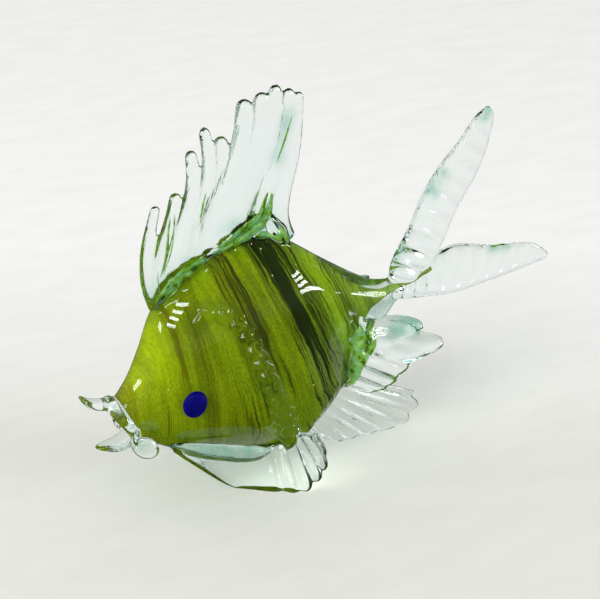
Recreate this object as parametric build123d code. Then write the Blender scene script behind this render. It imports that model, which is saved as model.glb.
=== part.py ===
from build123d import *
import math
import os

# A hand-made art-glass fish. A streaked core lies in a clear casing, and clear fins, gill bands and lips
# and two blue eyes are worked hot and fused onto it. It stands on its two front fins and its anal fin.
# The fish is modelled level: snout at x = 0, tail toward +X, back toward +Z, its left side toward -Y.
# At the end it is pitched nose down, its feet are cut flat on the ground, and the origin goes under it.

# Body, its clear casing and its stance
BODY_LENGTH = 162.0
BODY_HEIGHT = 107.0
BODY_WIDTH = 50.0
CASING_WALL = 2.5
BELLY_CLEARANCE = 8.0
NOSE_DOWN_DEG = 18.0
ROOT_DEPTH = 6.0
FOOT_CUT = 2.5

# Dorsal fin
DORSAL_RAY_LENGTH = 67.0
DORSAL_RAY_WIDTH = 11.0
DORSAL_RAY_THICKNESS = 6.5
DORSAL_BEAD_HEIGHT = 15.0
DORSAL_BEAD_WIDTH = 13.0

# Tail lobes
UPPER_LOBE_LENGTH = 88.0
UPPER_LOBE_WIDTH = 23.0
LOWER_LOBE_LENGTH = 78.0
LOWER_LOBE_WIDTH = 21.0
LOBE_THICKNESS = 11.0
UPPER_LOBE_RISE_DEG = 42.5
LOWER_LOBE_RISE_DEG = -16.0

# Front, rear and anal fins
FRONT_FIN_SPREAD = 18.0
FRONT_FIN_THICKNESS = 5.0
REAR_FIN_REACH = 38.0
REAR_FIN_THICKNESS = 5.0
ROLLED_EDGE_WIDTH = 14.0
FIN_LOBE_WIDTH = 13.0
ANAL_FIN_REACH = 44.0
ANAL_FIN_THICKNESS = 5.0

# Gill bands, eyes and mouth
GILL_BAND_WIDTH = 10.0
GILL_BAND_THICKNESS = 8.0
EYE_DIAMETER = 11.8
EYE_RISE = 0.8
MOUTH_HEIGHT = 21.0
MOUTH_WIDTH = 16.0
MOUTH_DROP = 4.5
MOUTH_TILT_DEG = 16.0
LIP_THICKNESS = 5.5
UPPER_PETAL_LENGTH = 15.0
UPPER_PETAL_WIDTH = 9.0
LOWER_PETAL_LENGTH = 20.0
LOWER_PETAL_WIDTH = 12.5
PETAL_THICKNESS = 4.0
CORNER_FLAP_LENGTH = 16.0
CORNER_FLAP_WIDTH = 13.0

# Ribs of the crimped pieces, and how finely the glass is faceted
TAIL_LOBE_RIBS = 7
FRONT_FIN_RIBS = 5
REAR_FIN_RIBS = 6
ANAL_FIN_RIBS = 7
GILL_BAND_RIBS = 10
STEPS_PER_CRIMP = 4
CALM_STEPS = 8
BODY_STEPS = 26
BODY_SIDES = 26
CORE_SIDES = 18
SHEET_SIDES = 8
LIP_STEPS = 10

# Body sections from snout to tail: share of the length, top and bottom as shares of the height, and half the
# width as a share of the width
BODY_SHARES = [
    (0.000, 0.047, -0.093, 0.160),
    (0.062, 0.112, -0.234, 0.280),
    (0.123, 0.210, -0.308, 0.360),
    (0.191, 0.336, -0.364, 0.420),
    (0.278, 0.411, -0.449, 0.470),
    (0.370, 0.439, -0.533, 0.500),
    (0.432, 0.458, -0.561, 0.500),
    (0.494, 0.458, -0.523, 0.480),
    (0.568, 0.421, -0.467, 0.420),
    (0.617, 0.336, -0.411, 0.360),
    (0.679, 0.206, -0.336, 0.280),
    (0.741, 0.084, -0.262, 0.200),
    (0.802, -0.019, -0.210, 0.140),
    (0.864, -0.065, -0.154, 0.090),
    (0.926, -0.089, -0.140, 0.052),
    (1.000, -0.093, -0.121, 0.026),
]

# Glass over the core: share of the body's length, then depth at the top, bottom and sides in casing walls
CASING_SHARES = [
    (0.025, 1.0, 1.0, 1.0),
    (0.062, 1.0, 1.0, 1.0),
    (0.123, 1.0, 1.0, 1.0),
    (0.191, 0.8, 1.0, 1.0),
    (0.278, 0.6, 1.0, 1.0),
    (0.370, 0.5, 1.0, 1.0),
    (0.432, 0.5, 1.0, 1.0),
    (0.494, 0.6, 1.0, 1.0),
    (0.568, 1.2, 1.5, 1.5),
    (0.617, 2.2, 2.4, 2.0),
    (0.679, 2.4, 3.5, 2.2),
    (0.741, 2.0, 3.8, 2.0),
    (0.802, 1.4, 3.0, 1.5),
    (0.864, 0.9, 1.6, 0.9),
    (0.926, 0.5, 0.6, 0.4),
    (0.980, 0.3, 0.3, 0.2),
]

# Dorsal rays from front to back: where the ray springs as a share of the body's length, how high the bead
# stands there as a share of its height, the ray's girth as a share of the usual one, then its bend and its tip,
# each aft of the bead and over it as shares of the longest ray
RAY_SHARES = [
    (0.210, 0.60, 0.85, 0.075, 0.278, 0.227, 0.536),
    (0.237, 0.50, 1.00, 0.146, 0.261, 0.312, 0.536),
    (0.278, 0.44, 1.00, 0.269, 0.381, 0.394, 0.731),
    (0.320, 0.39, 0.95, 0.300, 0.409, 0.424, 0.819),
    (0.358, 0.38, 1.15, 0.299, 0.387, 0.413, 0.699),
    (0.400, 0.36, 1.35, 0.322, 0.419, 0.540, 0.840),
    (0.438, 0.38, 1.30, 0.316, 0.361, 0.570, 0.809),
    (0.484, 0.48, 1.10, 0.322, 0.358, 0.561, 0.791),
    (0.564, 0.70, 1.10, 0.236, 0.304, 0.443, 0.733),
    (0.604, 0.62, 0.90, 0.207, 0.378, 0.404, 0.799),
]

# Edges of the tail lobes: share of the lobe's length, share of its width above or below its middle line
UPPER_LEADING_SHARES = [
    (-0.06, 0.12),
    (0.00, 0.30),
    (0.21, 0.41),
    (0.36, 0.47),
    (0.62, 0.45),
    (0.78, 0.31),
    (0.94, 0.20),
    (1.00, 0.07),
]
UPPER_TRAILING_SHARES = [
    (-0.06, -0.16),
    (0.00, -0.30),
    (0.21, -0.52),
    (0.41, -0.46),
    (0.71, -0.46),
    (0.85, -0.34),
    (0.97, -0.17),
]
LOWER_LEADING_SHARES = [
    (-0.08, 0.10),
    (0.00, 0.16),
    (0.12, 0.48),
    (0.22, 0.72),
    (0.33, 0.84),
    (0.45, 0.76),
    (0.66, 0.55),
    (0.91, 0.35),
    (1.00, 0.05),
]
LOWER_TRAILING_SHARES = [
    (-0.08, -0.12),
    (0.00, -0.20),
    (0.15, -0.30),
    (0.32, -0.39),
    (0.53, -0.33),
    (0.74, -0.24),
    (0.98, -0.10),
]
UPPER_LOBE_ROOT_SHARE = 0.889
LOWER_LOBE_ROOT_SHARE = 0.883

# Guides of the paired and anal fins. Root: share of the body's length, share of the way round from back to
# belly, and lift off the skin in root depths. Rim, from the root: aft and outward as shares of the fin's
# spread or reach, and down, as a share of the way to the ground or of the reach.
FRONT_FIN_SHARES = [
    (0.093, 0.90, -0.5, -0.07, 0.30, 0.08),
    (0.173, 0.87, -0.5, -0.15, 0.49, 0.46),
    (0.265, 0.86, -0.5, -0.32, 0.52, 0.90),
    (0.340, 0.82, -0.5, -0.31, 0.86, 1.00),
    (0.389, 0.75, -0.5, -0.09, 0.98, 1.00),
    (0.412, 0.70, 0.8, 0.18, 0.79, 0.69),
    (0.431, 0.67, 2.0, 0.22, 0.55, 0.39),
    (0.441, 0.66, 2.5, 0.13, 0.37, 0.20),
]
REAR_FIN_SHARES = [
    (0.660, 0.46, -1.0, 0.91, 0.40, 0.24),
    (0.662, 0.52, -1.0, 0.88, 0.52, 0.15),
    (0.660, 0.58, -1.0, 0.79, 0.62, 0.08),
    (0.652, 0.64, -1.0, 0.68, 0.68, 0.03),
    (0.640, 0.70, -1.0, 0.55, 0.72, -0.03),
    (0.626, 0.77, -1.0, 0.44, 0.72, -0.06),
    (0.608, 0.84, -1.0, 0.38, 0.64, -0.03),
    (0.586, 0.90, -1.0, 0.28, 0.48, -0.02),
]
ANAL_FIN_SHARES = [
    (0.463, 1.00, -1.0, 0.30, 0.0, 0.72),
    (0.481, 1.00, -1.0, 0.39, 0.0, 0.94),
    (0.500, 1.00, -1.0, 0.49, 0.0, 1.00),
    (0.519, 1.00, -1.0, 0.61, 0.0, 1.00),
    (0.537, 1.00, -1.0, 0.75, 0.0, 0.99),
    (0.556, 1.00, -1.0, 0.92, 0.0, 0.97),
    (0.574, 1.00, -1.0, 1.03, 0.0, 0.84),
    (0.593, 1.00, -1.0, 1.07, 0.0, 0.67),
    (0.611, 1.00, -1.0, 0.96, 0.0, 0.49),
]

# Gill band: share of the body's length and share of the way round from back to belly
GILL_BAND_SHARES = [
    (0.266, 0.240),
    (0.306, 0.225),
    (0.333, 0.241),
    (0.355, 0.278),
    (0.370, 0.340),
    (0.378, 0.420),
    (0.384, 0.510),
    (0.392, 0.600),
    (0.394, 0.690),
    (0.385, 0.800),
]

# Eye: its place on the skin, then its profile: height over the skin in rises, or under it in casing walls,
# and width as a share of the whole
EYE_PLACE_SHARES = (0.178, 0.50)
EYE_PROFILE_SHARES = [(-0.8, 0.90), (-0.3, 0.98), (0.3, 1.00), (0.55, 0.93), (0.85, 0.66), (1.0, 0.20)]
EYE_NUDGE_SHARE = 0.01

# Rolled edge and rounded lobe of the rear fin: aft, outward and down from the fin's first root, as shares of
# its reach
ROLLED_EDGE_SHARES = [(0.25, 0.15, 0.32), (0.51, 0.33, 0.19), (0.90, 0.47, 0.16)]
FIN_LOBE_SHARES = [(0.55, 0.42, 0.44), (0.87, 0.55, 0.37), (1.11, 0.60, 0.36)]

# Petals and corner flaps of the mouth: their path from the root, as shares of their length, and where a flap
# springs from, across and down from the middle of the mouth as shares of its half width and half height
UPPER_PETAL_SHARES = [(-0.45, 0.0, 0.25), (-0.72, 0.0, 0.72)]
LOWER_PETAL_SHARES = [(-0.50, 0.0, -0.05), (-0.97, 0.0, 0.15)]
FLAP_SHARES = [(-0.15, -0.50, -0.12), (0.32, -0.92, -0.10)]
FLAP_PLACE_SHARES = (0.80, 0.55)

# Where a ray, petal, flap or rolled edge has a section, closer together toward its rounded tip
STRIP_STEP_SHARES = (0.0, 0.2, 0.4, 0.6, 0.78, 0.91, 0.975, 1.0)

# How a piece swells along its length: share of the length, share of the full width and thickness
RAY_SWELL_SHARES = [
    (0.00, 1.00),
    (0.30, 0.90),
    (0.55, 0.76),
    (0.70, 0.66),
    (0.82, 0.54),
    (0.93, 0.52),
    (0.98, 0.42),
    (1.00, 0.25),
]
BEAD_SWELL_SHARES = [(0.0, 0.5), (0.1, 0.85), (0.5, 0.92), (0.8, 1.0), (0.94, 1.35), (1.0, 0.9)]
LOBE_SWELL_SHARES = [(0.0, 1.0), (0.12, 0.9), (0.3, 0.45), (0.6, 0.33), (0.9, 0.3), (1.0, 0.2)]
FAN_SWELL_SHARES = [(0.0, 0.4), (0.1, 0.85), (0.5, 1.0), (0.9, 0.85), (1.0, 0.4)]
PETAL_SWELL_SHARES = [(0.0, 1.0), (0.35, 1.05), (0.6, 0.9), (0.8, 0.62), (0.93, 0.4), (1.0, 0.15)]
FLAP_SWELL_SHARES = [(0.0, 0.7), (0.4, 0.9), (0.7, 1.0), (0.88, 0.8), (0.97, 0.5), (1.0, 0.25)]
ROLL_SWELL_SHARES = [(0.0, 0.6), (0.25, 0.9), (0.5, 1.0), (0.75, 0.85), (0.92, 0.55), (1.0, 0.25)]
BAND_SWELL_SHARES = [(0.0, 0.25), (0.06, 0.7), (0.2, 0.85), (0.6, 0.95), (0.85, 1.1), (0.95, 0.95), (1.0, 0.5)]

# How much thinner a piece is in its grooves, how much shorter a fin is there, and how far along the front
# fin its ribs start
FIN_GROOVE_SHARE = 0.40
FIN_SCALLOP_SHARE = 0.06
REAR_SCALLOP_SHARE = 0.02
FRONT_CALM_SHARE = 0.55
LOBE_GROOVE_SHARE = 0.15
BEAD_GROOVE_SHARE = 0.20
BAND_GROOVE_SHARE = 0.38

PITCH = math.radians(NOSE_DOWN_DEG)
AFT = Vector(math.cos(PITCH), 0, -math.sin(PITCH))
DOWN = Vector(-math.sin(PITCH), 0, -math.cos(PITCH))
LEFT = Vector(0, -1, 0)


def between(rows, place):
    """The values at a place among rows that start with their place, on a smooth curve through them"""
    last = len(rows) - 1
    index = max(i for i in range(last) if rows[i][0] <= place)
    before, low, high, after = (rows[max(0, min(last, index + k))] for k in (-1, 0, 1, 2))
    step = high[0] - low[0]
    t = (place - low[0]) / step
    values = []
    for b, p, q, a in zip(before[1:], low[1:], high[1:], after[1:]):
        low_slope = (q - b) / (high[0] - before[0]) * step
        high_slope = (a - p) / (after[0] - low[0]) * step
        bend = 3 * (q - p) - 2 * low_slope - high_slope
        twist = low_slope + high_slope - 2 * (q - p)
        values.append(p + t * low_slope + t**2 * bend + t**3 * twist)
    return values


def body_size(place):
    """Top, bottom and half width of the body at a share of its length"""
    top, bottom, half_width = between(BODY_SHARES, place)
    return top * BODY_HEIGHT, bottom * BODY_HEIGHT, half_width * BODY_WIDTH


def skin(place, girth, lift=0.0):
    """A point on the left skin, from the back (girth 0) to the belly (girth 1), lifted off it or sunk"""
    top, bottom, half_width = body_size(place)
    half_height = (top - bottom) / 2
    angle = math.pi * girth
    point = Vector(
        BODY_LENGTH * place,
        -half_width * math.sin(angle),
        (top + bottom) / 2 + half_height * math.cos(angle),
    )
    out = Vector(0, -math.sin(angle) / half_width, math.cos(angle) / half_height).normalized()
    return point + out * lift


def height_over_ground(point):
    """Height of a point of the level fish over the ground that it will stand on"""
    belly_depth = max(DOWN.dot(skin(row[0], 1.0)) for row in BODY_SHARES)
    return belly_depth + BELLY_CLEARANCE - DOWN.dot(point)


def ring(middle, wide, thick, sides=SHEET_SIDES):
    """Corners of an oval about a middle point, from its two half axes"""
    angles = [2 * math.pi * (k + 0.5) / sides for k in range(sides)]
    return [middle + wide * math.cos(angle) + thick * math.sin(angle) for angle in angles]


def faceted(rings):
    """A closed solid with flat facets from ring to ring, and a flat face over each end"""
    facets = [Face(Wire.make_polygon(rings[0])), Face(Wire.make_polygon(rings[-1]))]
    for low, high in zip(rings, rings[1:]):
        for k in range(len(low)):
            facets.append(Face(Wire.make_polygon([low[k - 1], low[k], high[k]])))
            facets.append(Face(Wire.make_polygon([low[k - 1], high[k], high[k - 1]])))
    return Solid(Shell(facets))


def crimp(step):
    """How deep in the groove between two ribs a step lies, from 0 on a rib to 1 in the groove"""
    return (1 - math.cos(2 * math.pi * step / STEPS_PER_CRIMP)) / 2


def crimped_places(crimps, calm_share):
    """Shares along a piece where it has a section, each with its depth in a groove. The calm part has none."""
    steps = crimps * STEPS_PER_CRIMP
    calm = [(calm_share * step / CALM_STEPS, 0.0) for step in range(CALM_STEPS)] if calm_share else []
    return calm + [(calm_share + (1 - calm_share) * step / steps, crimp(step)) for step in range(steps + 1)]


def crimped_sheet(inner_points, outer_points, thickness, swell, places, groove_share, scallop_share=0.0):
    """A sheet of hot glass between two curves, crimped into ribs that run from the inner to the outer one"""
    inner = Spline(inner_points)
    outer = Spline(outer_points)
    rings = []
    for along, depth in places:
        start = inner @ along
        reach = (outer @ along - start) * (1 - scallop_share * depth)
        across = (inner % along + outer % along).cross(reach).normalized()
        half = thickness / 2 * between(swell, along)[0] * (1 - groove_share * depth)
        rings.append(ring(start + reach / 2, reach / 2, across * half))
    return faceted(rings)


def crimped_strip(path, facing, width, thickness, swell, places, groove_share=0.0):
    """A strip of glass along a path, flat across the direction that it faces"""
    rings = []
    for along, depth in places:
        size = between(swell, along)[0] * (1 - groove_share * depth)
        normal = facing(along).normalized()
        wide = (path % along).cross(normal).normalized()
        thick = wide.cross(path % along).normalized()
        rings.append(ring(path @ along, wide * (size * width / 2), thick * (size * thickness / 2)))
    return faceted(rings)


def plain_strip(path, facing, width, thickness, swell):
    """A strip of glass without ribs, up to its rounded tip"""
    return crimped_strip(path, facing, width, thickness, swell, [(along, 0.0) for along in STRIP_STEP_SHARES])


def body_section(place, inset=(0.0, 0.0, 0.0), sides=BODY_SIDES):
    """Corners of the body's oval section, inset at the top, bottom and sides"""
    top, bottom, half_width = body_size(place)
    top -= inset[0]
    bottom += inset[1]
    middle = Vector(BODY_LENGTH * place, 0, (top + bottom) / 2)
    return ring(middle, Vector(0, half_width - inset[2], 0), Vector(0, 0, (top - bottom) / 2), sides)


def body_outside():
    """Skin of the whole body, casing and core together"""
    return faceted([body_section(step / BODY_STEPS) for step in range(BODY_STEPS + 1)])


def body_core():
    """Streaked core, drawn out to a spike between the tail lobes"""
    rings = []
    for place, *depths in CASING_SHARES:
        rings.append(body_section(place, [depth * CASING_WALL for depth in depths], CORE_SIDES))
    return faceted(rings)


def eye():
    """A flat dot of blue glass, pressed into the casing on the left"""
    place, girth = EYE_PLACE_SHARES
    centre = skin(place, girth)
    aft = (skin(place + EYE_NUDGE_SHARE, girth) - centre).normalized()
    up = (skin(place, girth - EYE_NUDGE_SHARE) - centre).normalized()
    out = up.cross(aft).normalized()
    radius = EYE_DIAMETER / 2
    rings = []
    for height, size in EYE_PROFILE_SHARES:
        rise = height * (EYE_RISE if height > 0 else CASING_WALL)
        rings.append(ring(centre + out * rise, aft * (radius * size), up * (radius * size), CORE_SIDES))
    return faceted(rings)


def dorsal_fin():
    """Crimped bead along the back, with fanned rays pulled out of it and fused side by side low down"""
    crests = [skin(place, 0, rise * DORSAL_BEAD_HEIGHT) for place, rise, *_ in RAY_SHARES]
    roots = [skin(place, 0, -ROOT_DEPTH) for place, *_ in RAY_SHARES]
    gaps = crimped_places(len(RAY_SHARES) - 1, 0.0)
    fin_rays = crimped_sheet(crests, roots, DORSAL_BEAD_WIDTH, BEAD_SWELL_SHARES, gaps, BEAD_GROOVE_SHARE)
    for crest, (place, _, girth, *steps) in zip(crests, RAY_SHARES):
        bend = crest + Vector(steps[0], 0, steps[1]) * DORSAL_RAY_LENGTH
        tip = crest + Vector(steps[2], 0, steps[3]) * DORSAL_RAY_LENGTH
        path = Spline(skin(place, 0), crest, bend, tip)
        size = (DORSAL_RAY_WIDTH * girth, DORSAL_RAY_THICKNESS * girth)
        fin_rays = fin_rays.fuse(plain_strip(path, lambda along: LEFT, *size, RAY_SWELL_SHARES))
    return fin_rays


def tail_lobe(root, rise_deg, length, width, leading_shares, trailing_shares):
    """A crimped lobe of the tail, between its leading and trailing edges"""
    rise = math.radians(rise_deg)
    along = Vector(math.cos(rise), 0, math.sin(rise))
    up = Vector(-math.sin(rise), 0, math.cos(rise))
    edges = []
    for shares in (leading_shares, trailing_shares):
        edges.append([root + along * (length * a) + up * (width * b) for a, b in shares])
    places = crimped_places(TAIL_LOBE_RIBS, 0.0)
    return crimped_sheet(*edges, LOBE_THICKNESS, LOBE_SWELL_SHARES, places, LOBE_GROOVE_SHARE)


def fin(shares, spread, thickness, places, scallop_share, stands):
    """A ribbed fan of glass from its guides. The rim of one that the fish stands on goes to the ground."""
    roots = [skin(place, girth, lift * ROOT_DEPTH) for place, girth, lift, *_ in shares]
    rims = []
    for root, (*_, aft, out, down) in zip(roots, shares):
        drop = height_over_ground(root) + FOOT_CUT if stands else spread
        rims.append(root + AFT * (aft * spread) + LEFT * (out * spread) + DOWN * (down * drop))
    return crimped_sheet(roots, rims, thickness, FAN_SWELL_SHARES, places, FIN_GROOVE_SHARE, scallop_share)


def rear_fin():
    """Ribbed fan on the flank, with its upper edge rolled over and a rounded lobe beyond its rim"""
    places = crimped_places(REAR_FIN_RIBS, 0.0)
    fan = fin(REAR_FIN_SHARES, REAR_FIN_REACH, REAR_FIN_THICKNESS, places, REAR_SCALLOP_SHARE, False)
    place, girth, *_ = REAR_FIN_SHARES[0]
    root = skin(place, girth, -ROOT_DEPTH)
    for shares, width, swell in (
        (ROLLED_EDGE_SHARES, ROLLED_EDGE_WIDTH, ROLL_SWELL_SHARES),
        (FIN_LOBE_SHARES, FIN_LOBE_WIDTH, FLAP_SWELL_SHARES),
    ):
        steps = [AFT * aft + LEFT * out + DOWN * down for aft, out, down in shares]
        path = Spline([root] + [root + step * REAR_FIN_REACH for step in steps])
        facing = LEFT - DOWN
        fan = fan.fuse(plain_strip(path, lambda along: facing, width, REAR_FIN_THICKNESS, swell))
    return fan


def gill_band():
    """Crimped strip laid over the flank behind the head"""
    path = Spline([skin(place, girth) for place, girth in GILL_BAND_SHARES])
    above = Spline([skin(place, girth, GILL_BAND_THICKNESS) for place, girth in GILL_BAND_SHARES])
    size = (GILL_BAND_WIDTH, GILL_BAND_THICKNESS)
    places = crimped_places(GILL_BAND_RIBS, 0.0)
    return crimped_strip(
        path, lambda along: above @ along - path @ along, *size, BAND_SWELL_SHARES, places, BAND_GROOVE_SHARE
    )


def mouth_frame():
    """Middle of the mouth, the way up across it and the way ahead out of it"""
    tilt = math.radians(MOUTH_TILT_DEG)
    up = Vector(-math.sin(tilt), 0, math.cos(tilt))
    ahead = Vector(-math.cos(tilt), 0, -math.sin(tilt))
    return Vector(0, 0, -MOUTH_DROP), up, ahead


def lip_ring(side):
    """Upper (side 1) or lower (side -1) half of the rolled ring round the mouth"""
    centre, up, ahead = mouth_frame()
    half = LIP_THICKNESS / 2
    rings = []
    for step in range(LIP_STEPS + 1):
        angle = math.pi * step / LIP_STEPS
        across = LEFT * (MOUTH_WIDTH / 2 * math.cos(angle))
        spoke = across + up * (side * MOUTH_HEIGHT / 2 * math.sin(angle))
        rings.append(ring(centre + spoke, spoke.normalized() * half, ahead * half))
    return faceted(rings)


def petal(root, shares, length, width, swell, facing):
    """A petal of glass pulled out of a lip"""
    path = Spline([root] + [root + Vector(*share) * length for share in shares])
    return plain_strip(path, lambda along: facing, width, PETAL_THICKNESS, swell)


def upper_lip():
    """Upper half of the ring, with a petal curling up"""
    centre, up, _ = mouth_frame()
    root = centre + up * (MOUTH_HEIGHT / 2)
    size = (UPPER_PETAL_LENGTH, UPPER_PETAL_WIDTH)
    return lip_ring(1).fuse(petal(root, UPPER_PETAL_SHARES, *size, PETAL_SWELL_SHARES, Vector(0, 0, 1)))


def lower_lip():
    """Lower half of the ring, with a broad petal forward and a rounded flap curled back at each corner"""
    centre, up, _ = mouth_frame()
    root = centre - up * (MOUTH_HEIGHT / 2)
    size = (LOWER_PETAL_LENGTH, LOWER_PETAL_WIDTH)
    tongue = petal(root, LOWER_PETAL_SHARES, *size, PETAL_SWELL_SHARES, Vector(0, 0, 1))
    across, down = FLAP_PLACE_SHARES
    corner = centre + LEFT * (across * MOUTH_WIDTH / 2) - up * (down * MOUTH_HEIGHT / 2)
    size = (CORNER_FLAP_LENGTH, CORNER_FLAP_WIDTH)
    flap = petal(corner, FLAP_SHARES, *size, FLAP_SWELL_SHARES, Vector(-1, -1, 0))
    return lip_ring(-1).fuse(tongue, flap, mirror(flap, about=Plane.XZ))


def seated(piece, *on):
    """A piece cut so that it meets the ones that it is fused onto face to face"""
    for other in on:
        piece = piece - other
    return piece


def level_fish():
    """Every piece of the level fish by name, each seated on the ones that were there before it"""
    outside = body_outside()
    pieces = {"body_core": body_core()}
    pieces["dorsal_fin"] = seated(dorsal_fin(), outside)
    places = crimped_places(ANAL_FIN_RIBS, 0.0)
    anal = fin(ANAL_FIN_SHARES, ANAL_FIN_REACH, ANAL_FIN_THICKNESS, places, FIN_SCALLOP_SHARE, True)
    pieces["anal_fin"] = seated(anal, outside)

    root = skin(UPPER_LOBE_ROOT_SHARE, 0)
    size = (UPPER_LOBE_LENGTH, UPPER_LOBE_WIDTH)
    lobe = tail_lobe(root, UPPER_LOBE_RISE_DEG, *size, UPPER_LEADING_SHARES, UPPER_TRAILING_SHARES)
    pieces["upper_tail_lobe"] = seated(lobe, outside)
    root = skin(LOWER_LOBE_ROOT_SHARE, 1)
    size = (LOWER_LOBE_LENGTH, LOWER_LOBE_WIDTH)
    lobe = tail_lobe(root, LOWER_LOBE_RISE_DEG, *size, LOWER_LEADING_SHARES, LOWER_TRAILING_SHARES)
    pieces["lower_tail_lobe"] = seated(lobe, outside, pieces["upper_tail_lobe"])

    pieces["upper_lip"] = seated(upper_lip(), outside)
    pieces["lower_lip"] = seated(lower_lip(), outside, pieces["upper_lip"])

    band = gill_band()
    places = crimped_places(FRONT_FIN_RIBS, FRONT_CALM_SHARE)
    front = fin(FRONT_FIN_SHARES, FRONT_FIN_SPREAD, FRONT_FIN_THICKNESS, places, FIN_SCALLOP_SHARE, True)
    rear = rear_fin()
    dot = eye()
    for side in ("left", "right"):
        if side == "right":
            band, front, rear, dot = (mirror(piece, about=Plane.XZ) for piece in (band, front, rear, dot))
        pieces[side + "_gill_band"] = seated(band, outside, pieces["dorsal_fin"])
        pieces[side + "_front_fin"] = seated(front, outside, pieces[side + "_gill_band"])
        pieces[side + "_rear_fin"] = seated(rear, outside, pieces["anal_fin"])
        pieces[side + "_eye"] = dot
    pieces["body_casing"] = seated(outside, pieces["body_core"], pieces["left_eye"], pieces["right_eye"])
    return pieces


def standing_fish():
    """The pieces pitched nose down, with the feet cut flat on the ground and the origin under the middle"""
    stand = Pos(0, 0, height_over_ground(Vector(0, 0, 0))) * Rotation(0, -NOSE_DOWN_DEG, 0)
    pieces = {name: stand * piece for name, piece in level_fish().items()}
    for name in ("left_front_fin", "right_front_fin", "anal_fin"):
        pieces[name] = split(pieces[name], Plane.XY, keep=Keep.TOP)
    boxes = [piece.bounding_box() for piece in pieces.values()]
    middle = (min(box.min.X for box in boxes) + max(box.max.X for box in boxes)) / 2
    return {name: Pos(-middle, 0, 0) * piece for name, piece in pieces.items()}


os.makedirs("parts", exist_ok=True)
for name, piece in standing_fish().items():
    export_step(piece, f"parts/{name}.step")
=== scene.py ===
import math

import bpy
import numpy as np
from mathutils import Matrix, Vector


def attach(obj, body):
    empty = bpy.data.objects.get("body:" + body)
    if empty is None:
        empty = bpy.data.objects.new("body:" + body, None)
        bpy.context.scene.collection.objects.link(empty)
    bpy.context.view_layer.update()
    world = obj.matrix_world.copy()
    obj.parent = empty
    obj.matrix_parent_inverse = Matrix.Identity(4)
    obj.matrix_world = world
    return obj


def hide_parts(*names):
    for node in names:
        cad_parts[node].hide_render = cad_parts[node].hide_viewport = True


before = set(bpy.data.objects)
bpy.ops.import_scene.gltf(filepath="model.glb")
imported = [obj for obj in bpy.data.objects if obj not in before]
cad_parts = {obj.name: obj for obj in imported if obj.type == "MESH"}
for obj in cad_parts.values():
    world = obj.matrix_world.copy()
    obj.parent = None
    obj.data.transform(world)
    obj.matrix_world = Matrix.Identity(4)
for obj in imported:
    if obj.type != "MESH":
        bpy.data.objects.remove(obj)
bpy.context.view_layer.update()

# The glass is built in the level fish's own frame, in millimetres, as in the part's source: snout at the
# origin, tail toward +X, back toward +Z. Then it is pitched nose down and set over its feet.
MM = 0.001
PITCH = math.radians(18.0)
SNOUT_X = -100.218
SNOUT_Z = 43.72
AFT = np.array([math.cos(PITCH), 0.0, -math.sin(PITCH)])
DOWN = np.array([-math.sin(PITCH), 0.0, -math.cos(PITCH)])
LEFT = np.array([0.0, -1.0, 0.0])
MIRROR = np.array([1.0, -1.0, 1.0])

# Driving sizes, and the voxel that fuses the clear glass
BODY_LENGTH, BODY_HEIGHT, BODY_WIDTH = 162.0, 107.0, 50.0
CASING_WALL = 2.5
ROOT_DEPTH = 6.0
FOOT_CUT = 2.5
VOXEL = 0.8

# Where the core starts and ends along the body
CORE_SPAN = (0.025, 0.98)

# How finely the skin, the core, the sheets between curves and the curves are divided
SKIN_STATIONS, SKIN_SIDES = 141, 96
CORE_STATIONS, CORE_SIDES = 161, 128
RIB_STEPS, SHEET_SIDES = 14, 24
CURVE_POINTS = 400

# Share of the body's length, top, bottom and half width
BODY = [
    (0.000, 0.047, -0.093, 0.160),
    (0.062, 0.112, -0.234, 0.280),
    (0.123, 0.210, -0.308, 0.360),
    (0.191, 0.336, -0.364, 0.420),
    (0.278, 0.411, -0.449, 0.470),
    (0.370, 0.439, -0.533, 0.500),
    (0.432, 0.458, -0.561, 0.500),
    (0.494, 0.458, -0.523, 0.480),
    (0.568, 0.421, -0.467, 0.420),
    (0.617, 0.336, -0.411, 0.360),
    (0.679, 0.206, -0.336, 0.280),
    (0.741, 0.084, -0.262, 0.200),
    (0.802, -0.019, -0.210, 0.140),
    (0.864, -0.065, -0.154, 0.090),
    (0.926, -0.089, -0.140, 0.052),
    (1.000, -0.093, -0.121, 0.026),
]

# Depth of the clear glass over the core at the top, bottom and sides, in casing walls
CASING = [
    (0.025, 1.0, 1.0, 1.0),
    (0.062, 1.0, 1.0, 1.0),
    (0.123, 1.0, 1.0, 1.0),
    (0.191, 0.8, 1.0, 1.0),
    (0.278, 0.6, 1.0, 1.0),
    (0.370, 0.5, 1.0, 1.0),
    (0.432, 0.5, 1.0, 1.0),
    (0.494, 0.6, 1.0, 1.0),
    (0.568, 1.5, 1.4, 1.5),
    (0.617, 3.0, 1.5, 1.3),
    (0.679, 4.2, 4.0, 1.8),
    (0.741, 4.2, 5.4, 2.3),
    (0.802, 2.7, 3.8, 2.0),
    (0.864, 1.5, 1.7, 1.1),
    (0.926, 0.9, 0.7, 0.6),
    (0.980, 0.3, 0.3, 0.2),
]

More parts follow.
